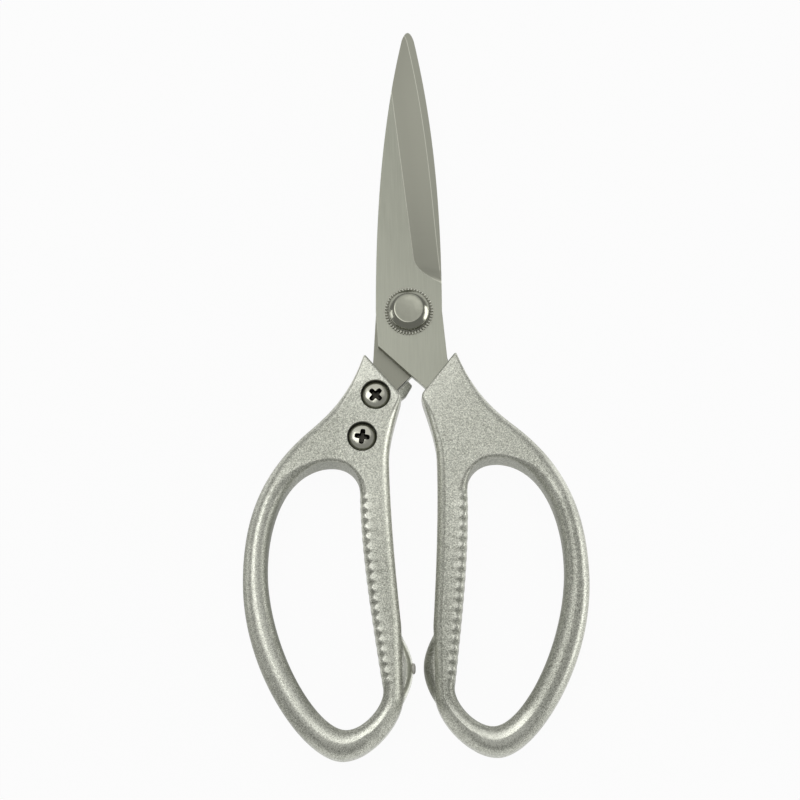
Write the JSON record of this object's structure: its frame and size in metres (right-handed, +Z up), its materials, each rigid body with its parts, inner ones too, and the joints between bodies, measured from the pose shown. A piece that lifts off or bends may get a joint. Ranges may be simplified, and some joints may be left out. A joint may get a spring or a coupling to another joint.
{
  "type": "scissors",
  "caption": "Kitchen scissors with hollow-ground pointed blades on one pivot bolt and cast metal handles with ribbed finger loops.",
  "frame": {"origin": "under the middle of the outline, on the surface that the scissors lie on", "axes": "+Y towards the blade tips, +X to the right-hand finger loop, +Z up, out of the face with the pivot cap"},
  "size_m": [0.0936, 0.2046, 0.0119],
  "materials": {
    "blade_steel": "ground and brushed along the blade",
    "handle_metal": "cast, satin silver with a fine sparkle",
    "screw_metal": "dark nickel",
    "pivot_metal": "polished",
    "washer_steel": "plain spring steel",
    "bumper": "pale, matte"
  },
  "bodies": {
    "rear_half": {"rear_blade": "blade_steel", "left_handle": "handle_metal", "left_upper_screw": "screw_metal", "left_lower_screw": "screw_metal", "stop_bumper": "bumper"},
    "front_half": {"front_blade": "blade_steel", "right_handle": "handle_metal", "right_upper_screw": "screw_metal", "right_lower_screw": "screw_metal", "pivot_bolt": "pivot_metal", "toothed_washer": "pivot_metal", "spring_washer": "washer_steel", "lock_nut": "screw_metal"}
  },
  "joints": [
    {"name": "blade_pivot", "type": "hinge", "parent": "rear_half", "child": "front_half", "pos_m": [0, 0.02075, 0.0058], "axis": [0, 0, 1], "range_deg": [-1.1, 100]}
  ]
}
